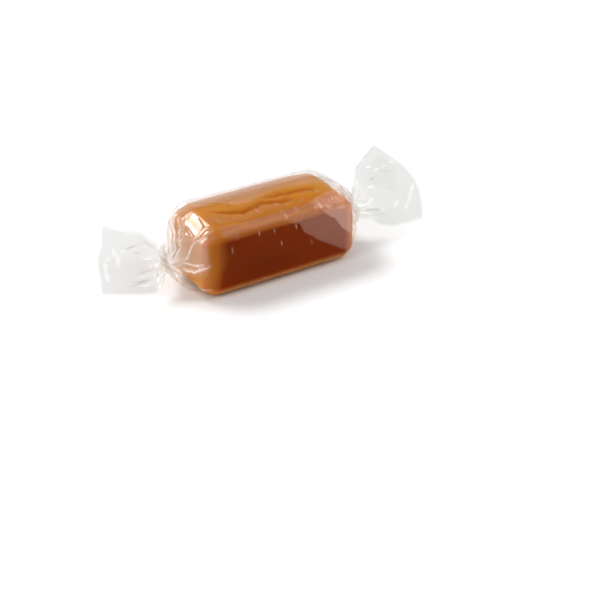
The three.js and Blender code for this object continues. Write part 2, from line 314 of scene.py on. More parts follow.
def caramel_points(points):
    """Works a plain box surface into the bevelled, domed, slightly barrelled and grooved bar."""
    p, _ = around_bar(points, 0)
    along, up = p[:, 0] / HALF_SIZE[0], smooth(p[:, 2], 0, HALF_SIZE[2])
    full = 1 + CARAMEL["barrel"] * (1 - 2 * along ** 2)
    p[:, 1] *= full
    p[:, 2] *= np.where(p[:, 2] > 0, full, 1)
    front = 1 - smooth(p[:, 1], -2, 5)
    p[:, 0] -= up * CARAMEL["far_cut"] * smooth(along, 0.3, 1) * front
    p[:, 0] += up * CARAMEL["near_cut"] * smooth(-along, 0.3, 1)
    p[:, 2] -= up * CARAMEL["far_cut"] * smooth(along, 0.5, 1)
    p[:, 2] -= groove_depth(p)
    return p


def line_at(path, along):
    """How far back, or up, a line along the bar lies at each place along it."""
    line = np.interp(along, *zip(*path))
    for height, rate, start in WAVER:
        line = line + height * np.sin(rate * along + start)
    return line


def groove_depth(points):
    """The shallow grooves along the bar's top."""
    x, y, z = points.T
    half_length, _, half_height = HALF_SIZE
    top = smooth(z, 0.5 * half_height, 0.85 * half_height) * (1 - (x / half_length) ** 4)
    depth = np.zeros(len(points))
    for path, deep, width in GROOVES:
        first, last = path[0][0], path[-1][0]
        fading = smooth(x, first, first + 3) * smooth(-x, -last, 3 - last)
        away = y - line_at(path, x)
        depth += deep * top * fading * np.exp(-(away / width) ** 2)
    return depth


def make_caramel():
    half, counts = HALF_SIZE, CARAMEL["cells"]
    points, faces, start = [], [], 0
    for axis in range(3):
        a, b = (axis + 1) % 3, (axis + 2) % 3
        u = np.linspace(-half[a], half[a], counts[a] + 1)
        v = np.linspace(-half[b], half[b], counts[b] + 1)
        for sign in (-1, 1):
            grid = np.empty((len(u), len(v), 3))
            grid[..., a] = u[:, None]
            grid[..., b] = v[None, :]
            grid[..., axis] = sign * half[axis]
            index = start + np.arange(grid[..., 0].size).reshape(len(u), len(v))
            quad = [index[:-1, :-1], index[1:, :-1], index[1:, 1:], index[:-1, 1:]]
            if sign < 0:
                quad.reverse()
            faces.append(np.stack([q.ravel() for q in quad], -1))
            points.append(grid.reshape(-1, 3))
            start += grid[..., 0].size
    points = caramel_points(np.concatenate(points))
    piece = mesh_object("caramel_bar", points, np.concatenate(faces), {"groove": groove_depth(points)})
    weld = piece.modifiers.new("weld", "WELD")
    weld.merge_threshold = CARAMEL["weld"] * MM
    return piece


# --- the film ---

def sleeve_radius(angle):
    w, h, n = FILM["half_width"], FILM["half_height"], FILM["squareness"]
    return ((np.abs(np.cos(angle)) / w) ** n + (np.abs(np.sin(angle)) / h) ** n) ** (-1 / n)


def ring(x, angle, radius):
    points = np.stack(np.broadcast_arrays(x, np.cos(angle) * radius, np.sin(angle) * radius), -1)
    return points.astype(float)


def rest_on_floor(points, lift=0):
    points[..., 2] = np.maximum(points[..., 2], FILM["off_floor"] + lift - BAR_MIDDLE[2])
    return points


def pleats(angle, share, rng):
    """Sharp ridges that run along the gather, each with its own place, width and start."""
    fold = np.zeros(np.broadcast_shapes(angle.shape, share.shape))
    for count, height, width, start in PLEATS:
        for k in range(count):
            middle = 2 * np.pi * (k + rng.uniform(-0.35, 0.35)) / count
            turn = rng.uniform(-0.25, 0.25) * share
            grown = smooth(share, start, start + rng.uniform(0.15, 0.4))
            tall = height * rng.uniform(0.5, 1.2)
            fold += tall * grown * tent(angle, middle + turn, width * rng.uniform(0.7, 1.3))
    return fold - fold.mean(axis=1, keepdims=True)


def laid_folds(angle, place, seed):
    """Flat folds where the film doubles back over itself, from the gather through the neck into the tail.

    Returns how far round each point is carried, in radians, and how far out, as a share of 1.
    """
    rng = np.random.default_rng(seed)
    carried = np.zeros(np.broadcast_shapes(angle.shape, place.shape))
    raised = np.zeros_like(carried)
    count = LAID_FOLDS["count"]
    for k in range(count):
        middle = 2 * np.pi * (k + rng.uniform(-0.3, 0.3)) / count + rng.uniform(-0.1, 0.1) * place
        width = rng.uniform(0.07, 0.13)
        first, last = rng.uniform(0.15, 0.45), rng.uniform(2.15, 2.4)
        grown = smooth(place, first, first + 0.5) * (1 - smooth(place, 1.9, last))
        side = rng.choice((-1, 1))
        away = angle_between(angle, middle) / width
        bent = np.minimum(away + 2, 1) - np.clip(away + 1, 0, 2) + np.clip(away - 1, 0, 1)
        bent = np.where(np.abs(away) < 2, bent, 0)
        carried += side * LAID_FOLDS["carry"] * width * grown * bent
        raised += side * grown * bent
    return carried, raised


def gather_rows(end, share, angle, lift):
    """The film closing from the sleeve to the neck."""
    shoulder = 0.25
    turned = (np.hypot(share ** end["bulge"], shoulder) - shoulder) / (np.hypot(1, shoulder) - shoulder)
    depth = PLEAT_DEPTH * np.sin(np.pi * share) * share ** 0.6
    carried, raised = laid_folds(angle, share, end["seed"])
    radius = sleeve_radius(angle + carried)
    radius = radius + (end["neck"] - radius) * turned
    radius = radius * (1 + depth * pleats(angle, share, np.random.default_rng(end["seed"])))
    radius = radius + lift + LAID_FOLDS["rise"] * raised
    wound = angle + carried + NECK["wring"] * NECK["swirl"] * share ** 2
    points = ring(end["side"] * (FILM["end"] + end["gather"] * share), wound, radius)
    points[..., 2] -= end["drop"] * turned
    return rest_on_floor(points, lift)


def neck_rows(end, share, angle):
    """The wrung neck, a short rope of film."""
    waist = 1 - NECK["narrowing"] * np.sin(np.pi * share)
    carried, raised = laid_folds(angle, 1 + share, end["seed"])
    wound = angle + carried + NECK["wring"] * (NECK["swirl"] + (1 - NECK["swirl"]) * share)
    x = end["side"] * (FILM["end"] + end["gather"] + NECK["length"] * share)
    points = ring(x, wound, end["neck"] * waist + LAID_FOLDS["rise"] * raised)
    points[..., 2] -= end["drop"]
    return points


def outline(points, share):
    """The point at each share of the way along a line through points."""
    points = np.array(points, float)
    length = np.concatenate([[0], np.cumsum(np.linalg.norm(np.diff(points, axis=0), axis=1))])
    return np.stack([np.interp(share * length[-1], length, points[:, k]) for k in range(2)], -1)


def near_line(points, first, last, width):
    """1 along the middle of a short line, falling to 0 at width to its sides and towards its ends."""
    run = last - first
    along = np.clip((points - first) @ run / (run @ run), 0, 1)
    away = np.linalg.norm(points - first - along[..., None] * run, axis=-1)
    return np.maximum(0, 1 - away / width) * (0.3 + 0.7 * np.sin(np.pi * along))


def tail_flat(end, gone, across):
    """The tail's points in its own plane, filled in between its outlines."""
    high, low = (1 + across[..., None]) / 2, (1 - across[..., None]) / 2
    upper, lower = outline(end["upper"], gone), outline(end["lower"], gone)
    root = high * upper[0] + low * lower[0]
    cut = outline(end["cut"], (1 + across) / 2)
    far, near = gone[..., None], 1 - gone[..., None]
    corners = high * (near * upper[0] + far * upper[-1]) + low * (near * lower[0] + far * lower[-1])
    return high * upper + low * lower + near * root + far * cut - corners


def tail_rows(end, share, angle, lift):
    """The tail: the tube of film opening into two nearly flat layers up to the cut edge."""
    carried, raised = laid_folds(angle, 2 + share, end["seed"])
    wound = angle + carried + NECK["wring"]
    across, layer = np.sin(wound), np.cos(wound)
    flat = tail_flat(end, share ** 1.3, across)
    puff = end["neck"] + (end["puff"] - end["neck"]) * smooth(share, 0, 0.35)
    depth = (puff + lift + LAID_FOLDS["rise"] * raised) * layer
    for place, height, start in end["bends"]:
        bent = np.maximum(0, 1 - np.abs(across - place) / BEND_WIDTH)
        depth = depth + height * smooth(share, start, 1) * bent
    for first, last, height, width in end["creases"]:
        depth = depth + height * near_line(flat, np.array(first), np.array(last), width)
    points = np.stack([flat[..., 0], depth, flat[..., 1]], -1)
    points = points @ tail_turn(end).T
    points[..., 0] = end["side"] * (FILM["end"] + end["gather"] + NECK["length"] + points[..., 0])
    points[..., 2] -= end["drop"]
    return points


def tail_turn(end):
    return np.array(Euler([math.radians(a) for a in end["turn"]], "XYZ").to_matrix())


def in_tail_plane(end, points):
    """Points as (outward, upward) in a tail's own plane."""
    p = points.copy()
    p[..., 0] = end["side"] * p[..., 0] - FILM["end"] - end["gather"] - NECK["length"]
    p[..., 2] += end["drop"]
    return (p @ tail_turn(end))[..., [0, 2]]


def crease_tone(points, place):
    """How pale (up to 1) or dull (down to -1) the tails are along their creases and in their shades: pale
    creases are painted highlights, dull ones painted dark reflections.
    """
    tone = np.zeros(points.shape[:2])
    for end in ENDS:
        rows = end["side"] * place > TAIL_FROM
        flat = in_tail_plane(end, points[rows])
        for first, last, height, width in end["creases"]:
            mark = near_line(flat, np.array(first), np.array(last), width)
            tone[rows] += np.sign(height) * smooth(mark, 0.2, 0.9)
        for corners, share in end["shades"]:
            tone[rows] -= share * smooth(inside(corners, flat[..., 0], flat[..., 1]), -0.1, 0.2)
    return np.clip(tone, -1, 1)


def respaced(points, count):
    """The same lines of points, with count steps of equal length along each."""
    step = np.linalg.norm(np.diff(points, axis=0), axis=-1)
    length = np.concatenate([np.zeros((1, points.shape[1])), np.cumsum(step, 0)])
    out = np.empty((count + 1, *points.shape[1:]))
    for j in range(points.shape[1]):
        even = np.linspace(0, length[-1, j], count + 1)
        for axis in range(3):
            out[:, j, axis] = np.interp(even, length[:, j], points[:, j, axis])
    return out


def film_end(end, angle, lift):
    """Rows of points from the sleeve's end to the tail's cut edge, and how far along each row is.

    That is from 0 to 1 in the gather, to 2 in the neck and to 3 in the tail.
    """
    def share(count):
        return np.linspace(0, 1, count)[:, None]

    gather = gather_rows(end, share(60), angle, lift)
    neck = neck_rows(end, share(30), angle)
    tail = tail_rows(end, share(300), angle, lift)
    lengths = (math.hypot(end["gather"], FILM["half_width"]), NECK["length"], end["cut"][-1][0] + 2)
    counts = [round(length / FILM["spacing"]) for length in lengths]
    rows = [respaced(part, count)[1:] for part, count in zip((gather, neck, tail), counts)]
    place = [k + np.arange(1, count + 1) / count for k, count in enumerate(counts)]
    return np.concatenate(rows), np.concatenate(place)


def film_angles(count):
    """The film's columns, as angles from one of its long edges round to the other."""
    lap_from, lap_to = FILM["lap"]
    return np.linspace(lap_from, lap_to + 2 * np.pi, count)


def film_grid():
    """Rows of points along the film from the left cut edge to the right one; columns go round it."""
    spacing = FILM["spacing"]
    girth = 4 * (FILM["half_width"] + FILM["half_height"]) * 0.95
    angle = film_angles(round(girth / spacing))[None, :]
    lift = FILM["lap_gap"] * smooth(angle - FILM["lap"][0], 2 * np.pi - 0.12, 2 * np.pi + 0.02)
    x = np.linspace(-FILM["end"], FILM["end"], round(2 * FILM["end"] / spacing))[:, None]
    sleeve = rest_on_floor(ring(x, angle, sleeve_radius(angle) + lift), lift)
    left, left_place = film_end(LEFT_END, angle, lift)
    right, right_place = film_end(RIGHT_END, angle, lift)
    points = np.concatenate([left[::-1], sleeve, right])
    place = np.concatenate([-left_place[::-1], np.zeros(len(x)), right_place])
    return points, place


def clear_of_caramel(points):
    """Moves points that would touch the caramel out to a small clearance from it."""
    surface, away = around_bar(points, FILM["clearance"])
    return np.where(away < 0, surface, points)


def film_gap(points):
    """How far the film stands off the bar: more behind the line where it lifts off, and over the near end."""
    x, y, z = np.moveaxis(points, -1, 0)
    back = smooth(y - line_at(TOUCH[0], x), -0.4, 1.4)
    ends = smooth(-x, 9, 15) - 0.5 * smooth(x, 8, 15)
    return (FILM["gap"] + smooth(z, 1, 7) * (FILM["back_gap"] * back + FILM["end_gap"] * ends))[..., None]


def lift_and_painted_sheen(points):
    """Where the film stands clear of the bar's top, from 0 to 1, with a painted highlight between the second
    and third lines and a painted reflection added along the back edge.
    """
    x, y, z = np.moveaxis(points, -1, 0)
    first, second, third = (line_at(line, x) for line in TOUCH)
    # Painted highlight: a hazier, shinier strip between the second and third lines.
    strip = smooth(second - y, 0, 0.4) * smooth(y - third, 0, 0.4)
    # Painted reflection: more haze along the back edge.
    edge = 3.4 * smooth(y, 1.4, 4.6) * (1 - smooth(y, 5.8, 6.8))
    top = smooth(y - first, -0.2, 0.5) * (1 - 0.7 * smooth(y, 5.8, 6.8)) + 0.45 * strip + edge
    return top * smooth(z, 1, 5)


def end_looseness(points, away):
    """Where it stands clear over the bar's ends: from their upper edge on, and less low down."""
    x, z = points[..., 0], points[..., 2]
    top = smooth(np.abs(x), 14.0, 15.2) * smooth(z, 4.5, 6) * (1 - smooth(away, 0, 0.3))
    return np.maximum(0.9 * top, 1.1 * smooth(away, 0.1, 0.26) * (1 - 0.8 * smooth(-z, -1, 3)))


def painted_front_reflection(points):
    """The painted reflection over the bar's front: how much warm haze the film there is given."""
    x, y, z = np.moveaxis(points, -1, 0)
    reflection_veil = np.zeros(points.shape[:2])
    for line, share in FRONT_REFLECTION_VEILS:
        reflection_veil = np.maximum(reflection_veil, share * smooth(z - line_at(line, x), -0.15, 0.35))
    reflection_veil = reflection_veil * smooth(-y, 6, 6.6) * (1 - smooth(z, 4.6, 5.8))
    line, share, more = EDGE_REFLECTION_VEIL
    edge = share * smooth(line_at(line, x) - y, -0.1, 0.3) * smooth(z, 5.1, 5.6) * smooth(x, -13.6, -13)
    edge = edge * (1 + more * smooth(x, 6.9, 7.9))
    return np.maximum(reflection_veil, edge) * (1 - smooth(x, 15.2, 16.5))


def inside(corners, across, up):
    """How far points lie inside a convex outline, given by its corners in order; below 0 outside it."""
    a, b = np.array(list(corners)).T
    a2, b2 = np.roll(a, -1), np.roll(b, -1)
    turn = np.sign((a * b2 - a2 * b).sum())
    edges = zip(a, b, a2 - a, b2 - b)
    depths = [turn * (da * (up - b0) - db * (across - a0)) / math.hypot(da, db) for a0, b0, da, db in edges]
    return np.min(depths, axis=0)


def uneven_spots(shape, spacing, stretch, rng):
    """Uneven spots among the grid's nodes, at least the spacing there apart, and by stretch more along it."""
    rows, columns = shape
    edge_step, margin = 6, 3
    edge = [(i, j) for i in range(0, rows, edge_step) for j in (0, columns - 1)]
    edge += [(i, j) for i in (0, rows - 1) for j in range(0, columns, edge_step)]
    edge += [(rows - 1, 0), (rows - 1, columns - 1)]
    tries = [rng.integers(margin, side - margin, FACETS["tries"]) for side in shape]
    scale = np.array([1 / stretch, 1])
    near = np.array(sorted(set(edge)), float) * scale
    for i, j in zip(*tries):
        spot = np.array([i, j]) * scale
        least = spacing[i, j]
        close = near[np.abs(near[:, 0] - spot[0]) < least]
        if len(close) == 0 or ((close - spot) ** 2).sum(axis=1).min() > least ** 2:
            near = np.vstack([near, spot])
    return np.rint(near / scale).astype(int)


def settled(corner, start, spots, spot_place, edges):
    """Moves the facets' corners until the edges between them have the film's own lengths.

    No edge grows past most times its present length, and no corner moves further than its hold.
    """
    first, last = edges.T
    apart = spots[last] - spots[first]
    true = FILM["spacing"] * np.hypot(apart[:, 0], apart[:, 1])
    now = np.linalg.norm(start[first] - start[last], axis=1)
    at = spot_place[edges].mean(axis=1)
    most = 1.03 + 0.55 * smooth(at, 0.1, 1) * (1 - smooth(at, 2.0, 2.7))
    rest = np.clip(true, 0.99 * now, most * now)
    hold = 0.15 + 0.75 * smooth(spot_place, 0.1, 0.6)
    count = len(spots)
    degree = np.bincount(edges.ravel(), minlength=count)[:, None]
    for step in range(FACETS["steps"]):
        gap = corner[last] - corner[first]
        length = np.linalg.norm(gap, axis=1)
        pull = gap * (0.5 * (1 - rest / np.maximum(length, 1e-6)))[:, None]
        total = [np.bincount(first, p, count) - np.bincount(last, p, count) for p in pull.T]
        corner = corner + FACETS["pull"] * np.stack(total, -1) / degree
        corner = rest_on_floor(clear_of_caramel(corner))
        moved = corner - start
        far = np.linalg.norm(moved, axis=1)
        corner = start + moved * np.minimum(1, hold / np.maximum(far, 1e-9))[:, None]
    return corner


def lay_facet(points, spots, corners):
    """Moves the grid's points between three of its nodes onto the flat facet between three corners."""
    low, high = spots.min(axis=0), spots.max(axis=0) + 1
    i, j = np.mgrid[low[0]:high[0], low[1]:high[1]]
    (i0, j0), (i1, j1), (i2, j2) = spots
    area = (i1 - i0) * (j2 - j0) - (i2 - i0) * (j1 - j0)
    if area == 0:
        return
    wb = ((i - i0) * (j2 - j0) - (i2 - i0) * (j - j0)) / area
    wc = ((i1 - i0) * (j - j0) - (i - i0) * (j1 - j0)) / area
    within = (wb >= -1e-9) & (wc >= -1e-9) & (wb + wc <= 1 + 1e-9)
    i, j, wb, wc = i[within], j[within], wb[within][:, None], wc[within][:, None]
    points[i, j] = (1 - wb - wc) * corners[0] + wb * corners[1] + wc * corners[2]


def crumpled(points, place, rng):
    """The film as flat facets between sharp creases, wherever it is gathered or flares."""
    shape = points.shape[:2]
    away = np.abs(place)[:, None] * np.ones(shape)
    size = FACETS["size"] - FACETS["smaller"] * smooth(away, 0.2, 1)
    size = size + FACETS["larger"] * smooth(away, 2, 2.6)
    stretch = FACETS["stretch"]
    spots = uneven_spots(shape, size, stretch, rng)
    flat = [Vector((float(j), float(i) / stretch)) for i, j in spots]
    _, edges, faces, *_ = delaunay_2d_cdt(flat, [], [], 0, 1e-6)
    start = points[spots[:, 0], spots[:, 1]]
    spot_place = away[spots[:, 0], spots[:, 1]]
    shaken = start + rng.normal(0, FACETS["shake"], start.shape) * smooth(spot_place, 0, 0.3)[:, None]
    corners = settled(shaken, start, spots, spot_place, np.array(edges))
    out = points.copy()
    for face in faces:
        lay_facet(out, spots[list(face)], corners[list(face)])
    share = smooth(away, 0.02, 0.3) * (1 - smooth(away, 2.05, 2.4))
    return points + share[..., None] * (out - points)


def smoothed(points):
    """Eases the sharpest corners between neighbouring points."""
    ease, passes = 0.2, 3
    for step in range(passes):
        points[1:-1] += ease * (points[2:] + points[:-2] - 2 * points[1:-1])
        points[:, 1:-1] += ease * (points[:, 2:] + points[:, :-2] - 2 * points[:, 1:-1])
    return points


def node_at(end, place, columns, out, degrees):
    """The grid row and column so many millimetres beyond the sleeve's end, at that angle round the film."""
    sleeve = np.flatnonzero(place == 0)
    lap_from, lap_to = FILM["lap"]
    row = sleeve[0 if end["side"] < 0 else -1] + end["side"] * np.asarray(out) / FILM["spacing"]
    column = (np.radians(degrees) - lap_from) / (2 * np.pi + lap_to - lap_from) * (columns - 1)
    return row, column


def pressed_flat(points, place):
    """Presses patches of the gathers into flat facets, and says how pale the film is there, a painted glint.
    """
    row, column = np.indices(points.shape[:2])
    pale = np.zeros(points.shape[:2])
    for end in ENDS:
        for corners, normal, tone in end["facets"]:
            r, c = node_at(end, place, points.shape[1], *np.array(corners).T)
            level = (points[np.rint(r).astype(int), np.rint(c).astype(int)] @ normal).mean()
            share = smooth(inside(zip(r, c), row, column), -0.5, 1.5)
            points = points + (share * (level - points @ normal))[..., None] * np.array(normal)
            pale = np.maximum(pale, tone * share)
    return points, pale


def long_folds(points, place):
    """How far each point is raised by the folds that cross the gathers, and how pale the film is there, a
    painted glint.
    """
    raised = np.zeros(points.shape[:2])
    pale = np.zeros(points.shape[:2])
    for end in ENDS:
        for path, height, width, tone in end["folds"]:
            steps = np.linspace(0, len(path) - 1, 24 * (len(path) - 1))
            out, degrees = (np.interp(steps, range(len(path)), values) for values in zip(*path))
            r, c = node_at(end, place, points.shape[1], out, degrees)
            line = points[np.rint(r).astype(int), np.rint(c).astype(int)]
            rows = slice(max(int(r.min()) - 4, 0), int(r.max()) + 5)
            near = rows, slice(max(int(c.min()) - 12, 0), int(c.max()) + 13)
            away = np.linalg.norm(points[near][:, :, None] - line, axis=-1)
            fading = np.sin(np.pi * (0.1 + 0.8 * away.argmin(axis=-1) / len(line)))
            mark = np.maximum(0, 1 - away.min(axis=-1) / width) * fading
            raised[near] = np.maximum(raised[near], height * mark)
            pale[near] = np.maximum(pale[near], tone * mark)
    return raised, pale


def pinches(points, place):
    """Thin raised folds that run from each neck out over the bar's ends."""
    raised = np.zeros(points.shape[:2])
    step = np.linalg.norm(np.diff(points, axis=1), axis=-1).mean(axis=1)[:, None]
    column = np.arange(points.shape[1])
    for end in ENDS:
        rng = np.random.default_rng(end["seed"])
        share = (end["side"] * place)[:, None]
        for k in range(PINCHES["count"]):
            middle = points.shape[1] * (k + rng.uniform(-0.4, 0.4)) / PINCHES["count"]
            start = rng.uniform(0.05, 0.5)
            path = middle + rng.uniform(-6, 6) * (1 - share)
            grown = smooth(share, start, start + 0.3) * (1 - smooth(share, 1.0, 1.3))
            away = np.abs(column - path) * step
            height = rng.uniform(PINCHES["low"], PINCHES["high"])
            raised += height * grown * np.maximum(0, 1 - away / PINCHES["half_width"])
    return raised


def closed_necks(points, place):
    """Tucks the wrung necks in towards their middle, and says how far in each point is, as a share of 1."""
    depth = np.zeros(points.shape[:2])
    angle, count = film_angles(points.shape[1]), TUCKS["count"]
    for end in ENDS:
        rng = np.random.default_rng(end["seed"])
        share = (end["side"] * place)[:, None]
        star = np.zeros(points.shape[:2])
        for k in range(count):
            middle = 2 * np.pi * (k + rng.uniform(-0.15, 0.15)) / count - TUCKS["winding"] * share
            star = np.maximum(star, tent(angle, middle, TUCKS["half_width"]))
        tucked = TUCKS["depth"] * star ** TUCKS["power"]
        tucked = tucked * smooth(share, 1.0, 1.25) * (1 - smooth(share, 1.75, 2.0))
        points[..., 1] -= tucked * points[..., 1]
        points[..., 2] -= tucked * (points[..., 2] + end["drop"])
        depth += tucked
    return points, depth


def nicks(points, place, rng):
    """Short sharp wrinkles across the sleeve: how far they stand out, and how pale they look, a painted
    glint.
    """
    raised = np.zeros(points.shape[:2])
    pale = np.zeros(points.shape[:2])
    rows = np.nonzero(place == 0)[0]
    # Every other one lies at the upper front edge, between these two angles.
    edge = [round(float(node_at(LEFT_END, place, points.shape[1], 0, a)[1])) for a in (112, 160)]
    for k in range(NICKS["count"]):
        i = rng.integers(rows[0] + 6, rows[-1] - 5)
        j = rng.integers(8, points.shape[1] - 8) if k % 2 else rng.integers(*edge)
        width, length = rng.uniform(1.2, 2.0), rng.uniform(2.5, 6)
        near_i, near_j = np.s_[i - 3:i + 4], np.s_[j - 6:j + 7]
        across = np.maximum(0, 1 - np.abs(np.arange(-3, 4)) / width)[:, None]
        along = np.maximum(0, 1 - np.abs(np.arange(-6, 7)) / length)[None, :]
        height = rng.uniform(NICKS["low"], NICKS["high"])
        raised[near_i, near_j] += height * across * along
        pale[i, near_j] += NICKS["paleness"] * height * along[0]
    return raised, np.minimum(pale, NICKS["palest"])


def dented(points, place, rng):
    """The film drawn snug to the bar, with soft dents all over, a little deeper at its ends."""
    snug, _ = around_bar(points, film_gap(points))
    held = (1 - smooth(np.abs(place), 0, 0.4))[:, None, None]
    points = points + held * (snug - points)
    (cells, height), (fine_cells, fine_height) = DENTS
    end = smooth(np.abs(place), 0, 1)[:, None]
    dents = soft_noise(points.shape[:2], cells, rng) * height
    dents = dents + soft_noise(points.shape[:2], fine_cells, rng) * fine_height * (1 + end)
    points = points + grid_normals(points) * dents[..., None]
    return rest_on_floor(clear_of_caramel(points))


def film_looks(points, place, tucked):
    """How milky and wrung the film is, how loose it is with painted sheen on the top added, how much painted
    reflection veils its front, and where it is a tail, mostly from 0 to 1.
    """
    away = np.abs(place)[:, None]
    low = smooth(-points[..., 2], 0, 3) * (1 - smooth(away, 0.5, 0.9))
    milk = (0.15 * smooth(away, 0.05, 0.5) + 0.85 * smooth(away, 0.5, 0.95)) * (1 - 0.85 * low)
    milk = milk * (1 - 0.85 * smooth(away, 0.8, 1.1)) * (1 - smooth(away, 1.9, 2.5)) * (1 - tucked)
    loose = np.maximum(lift_and_painted_sheen(points), end_looseness(points, away))
    wrung = smooth(away, 0.6, 1.1) * np.ones(points.shape[:2])
    # The tails' folded edges look as clear as their middle.
    turned = np.abs(np.sin(film_angles(points.shape[1]) + NECK["wring"]))
    tail = smooth(away, 2.0, 2.4) * (1 - 0.8 * smooth(turned, 0.9, 1))
    return {"milk": milk, "loose": loose, "reflection_veil": painted_front_reflection(points), "wrung": wrung, "tail": tail}


def make_film():
    points, place = film_grid()
    rng = np.random.default_rng(SEED)
    points = dented(points, place, rng)
    points = smoothed(crumpled(points, place, rng))
    points, patched = pressed_flat(points, place)
    folded, pale = long_folds(points, place)
    pale = np.maximum(pale, patched)
    nicked, glints = nicks(points, place, rng)
    raised = folded + pinches(points, place) + nicked
    points = points + grid_normals(points) * raised[..., None]
    points, tucked = closed_necks(points, place)
    points = rest_on_floor(clear_of_caramel(points))
    looks = film_looks(points, place, tucked)
    # Painted glints and highlights along the creases and facets, and painted dark reflections in the tails.
    looks["crease"] = crease_tone(points, place) + pale + glints
    return grid_object("film_wrapper", points, looks)


# --- materials ---

class Nodes:
    """Makes a material's nodes and links them."""

    def __init__(self, name):
        self.material = bpy.data.materials.new(name)
        self.material.use_nodes = True
        self.tree = self.material.node_tree
        self.tree.nodes.clear()

    def add(self, kind, inputs=None, **settings):
        node = self.tree.nodes.new(kind)
        for key, value in settings.items():
            setattr(node, key, value)
        for key, value in (inputs or {}).items():
            if isinstance(value, bpy.types.NodeSocket):
                self.tree.links.new(value, node.inputs[key])
            else:
                node.inputs[key].default_value = value
        return node

    def attribute(self, name):
        return self.add("ShaderNodeAttribute", attribute_name=name).outputs["Fac"]

    def math(self, operation, a, b=0.0, c=0.0, clamp=False):
        node = self.add("ShaderNodeMath", {0: a, 1: b, 2: c}, operation=operation, use_clamp=clamp)
        return node.outputs[0]

    def mix(self, share, first, second):
        """A colour between first and second, or either of them as a plain colour."""
        return self.add("ShaderNodeMix", {0: share, 6: first, 7: second}, data_type="RGBA").outputs[2]

    def noise(self, scale, detail=4.0, rough=0.55, stretch=(1, 1, 1), distortion=0.0):
        spot = self.add("ShaderNodeTexCoord").outputs["Object"]
        mapped = self.add("ShaderNodeMapping", {"Vector": spot, "Scale": stretch}).outputs["Vector"]
        values = {"Vector": mapped, "Scale": scale, "Detail": detail, "Roughness": rough,
                  "Distortion": distortion}
        return self.add("ShaderNodeTexNoise", values).outputs["Fac"]

    def bump(self, height, strength):
        values = {"Height": height, "Strength": strength, "Distance": 0.0002}
        return self.add("ShaderNodeBump", values).outputs["Normal"]

    def ramp(self, value, stops):
        node = self.add("ShaderNodeValToRGB", {"Fac": value})
        elements = node.color_ramp.elements
        while len(elements) < len(stops):
            elements.new(0.5)
        for element, (place, colour) in zip(elements, stops):
            element.position = place
            element.color = (*colour, 1)
        return node.outputs["Color"]

    def shader(self, kind, inputs):
        return self.add("ShaderNodeBsdf" + kind, inputs).outputs[0]

    def blend(self, share, first, second):
        """A shader between first and second."""
        return self.add("ShaderNodeMixShader", {0: share, 1: first, 2: second}).outputs[0]

    def surface(self, shader):
        self.add("ShaderNodeOutputMaterial", {"Surface": shader})
        return self.material


def caramel_material():
    n = Nodes("caramel")
    streaks = n.noise(60, 5, 0.6, (0.25, 1.3, 1.3), 0.4)
    # Painted shade darkens the grooves, the more the deeper they are.
    shade = n.math("MULTIPLY", n.attribute("groove"), 3.0, clamp=True)
    pale = n.mix(shade, n.ramp(streaks, CARAMEL_TONES), GROOVE_SHADE_COLOUR)
    # Painted shade: the bar's sides are darker and deeper in tone, its back a little less so than its front.
    normal = n.add("ShaderNodeNewGeometry").outputs["Normal"]
    sideways = n.add("ShaderNodeSeparateXYZ", {"Vector": normal}).outputs["Y"]
    flank_shade = n.math("POWER", n.math("ABSOLUTE", sideways), 3.0)
    flank_shade = n.math("MULTIPLY", flank_shade, n.math("MULTIPLY_ADD", sideways, -0.22, 0.78))
    # Next to the near end the painted shade is lighter, over a strip that narrows towards the floor.
    spot = n.add("ShaderNodeTexCoord").outputs["Object"]
    place = n.add("ShaderNodeSeparateXYZ", {"Vector": spot}).outputs
    slant = n.math("MULTIPLY_ADD", n.math("MINIMUM", place["Z"], MIDDLE_HEIGHT * MM), -90.0, 4.993)
    from_near_end = n.math("MULTIPLY_ADD", place["X"], 260.0, slant, clamp=True)
    flank_shade = n.math("MULTIPLY", flank_shade, n.math("MULTIPLY_ADD", from_near_end, 0.65, 0.35))
    return n.surface(n.shader("Principled", {
        "Base Color": n.mix(flank_shade, pale, n.ramp(streaks, FLANK_SHADE_TONES)),
        "Roughness": n.ramp(n.noise(160, 3), CARAMEL_ROUGHNESS),
        "Normal": n.bump(n.noise(900, 3, 0.5), 0.12),
        "IOR": 1.45, "Specular IOR Level": 0.03,
        "Subsurface Weight": 1.0, "Subsurface Radius": (1.0, 0.25, 0.06), "Subsurface Scale": 0.005}))


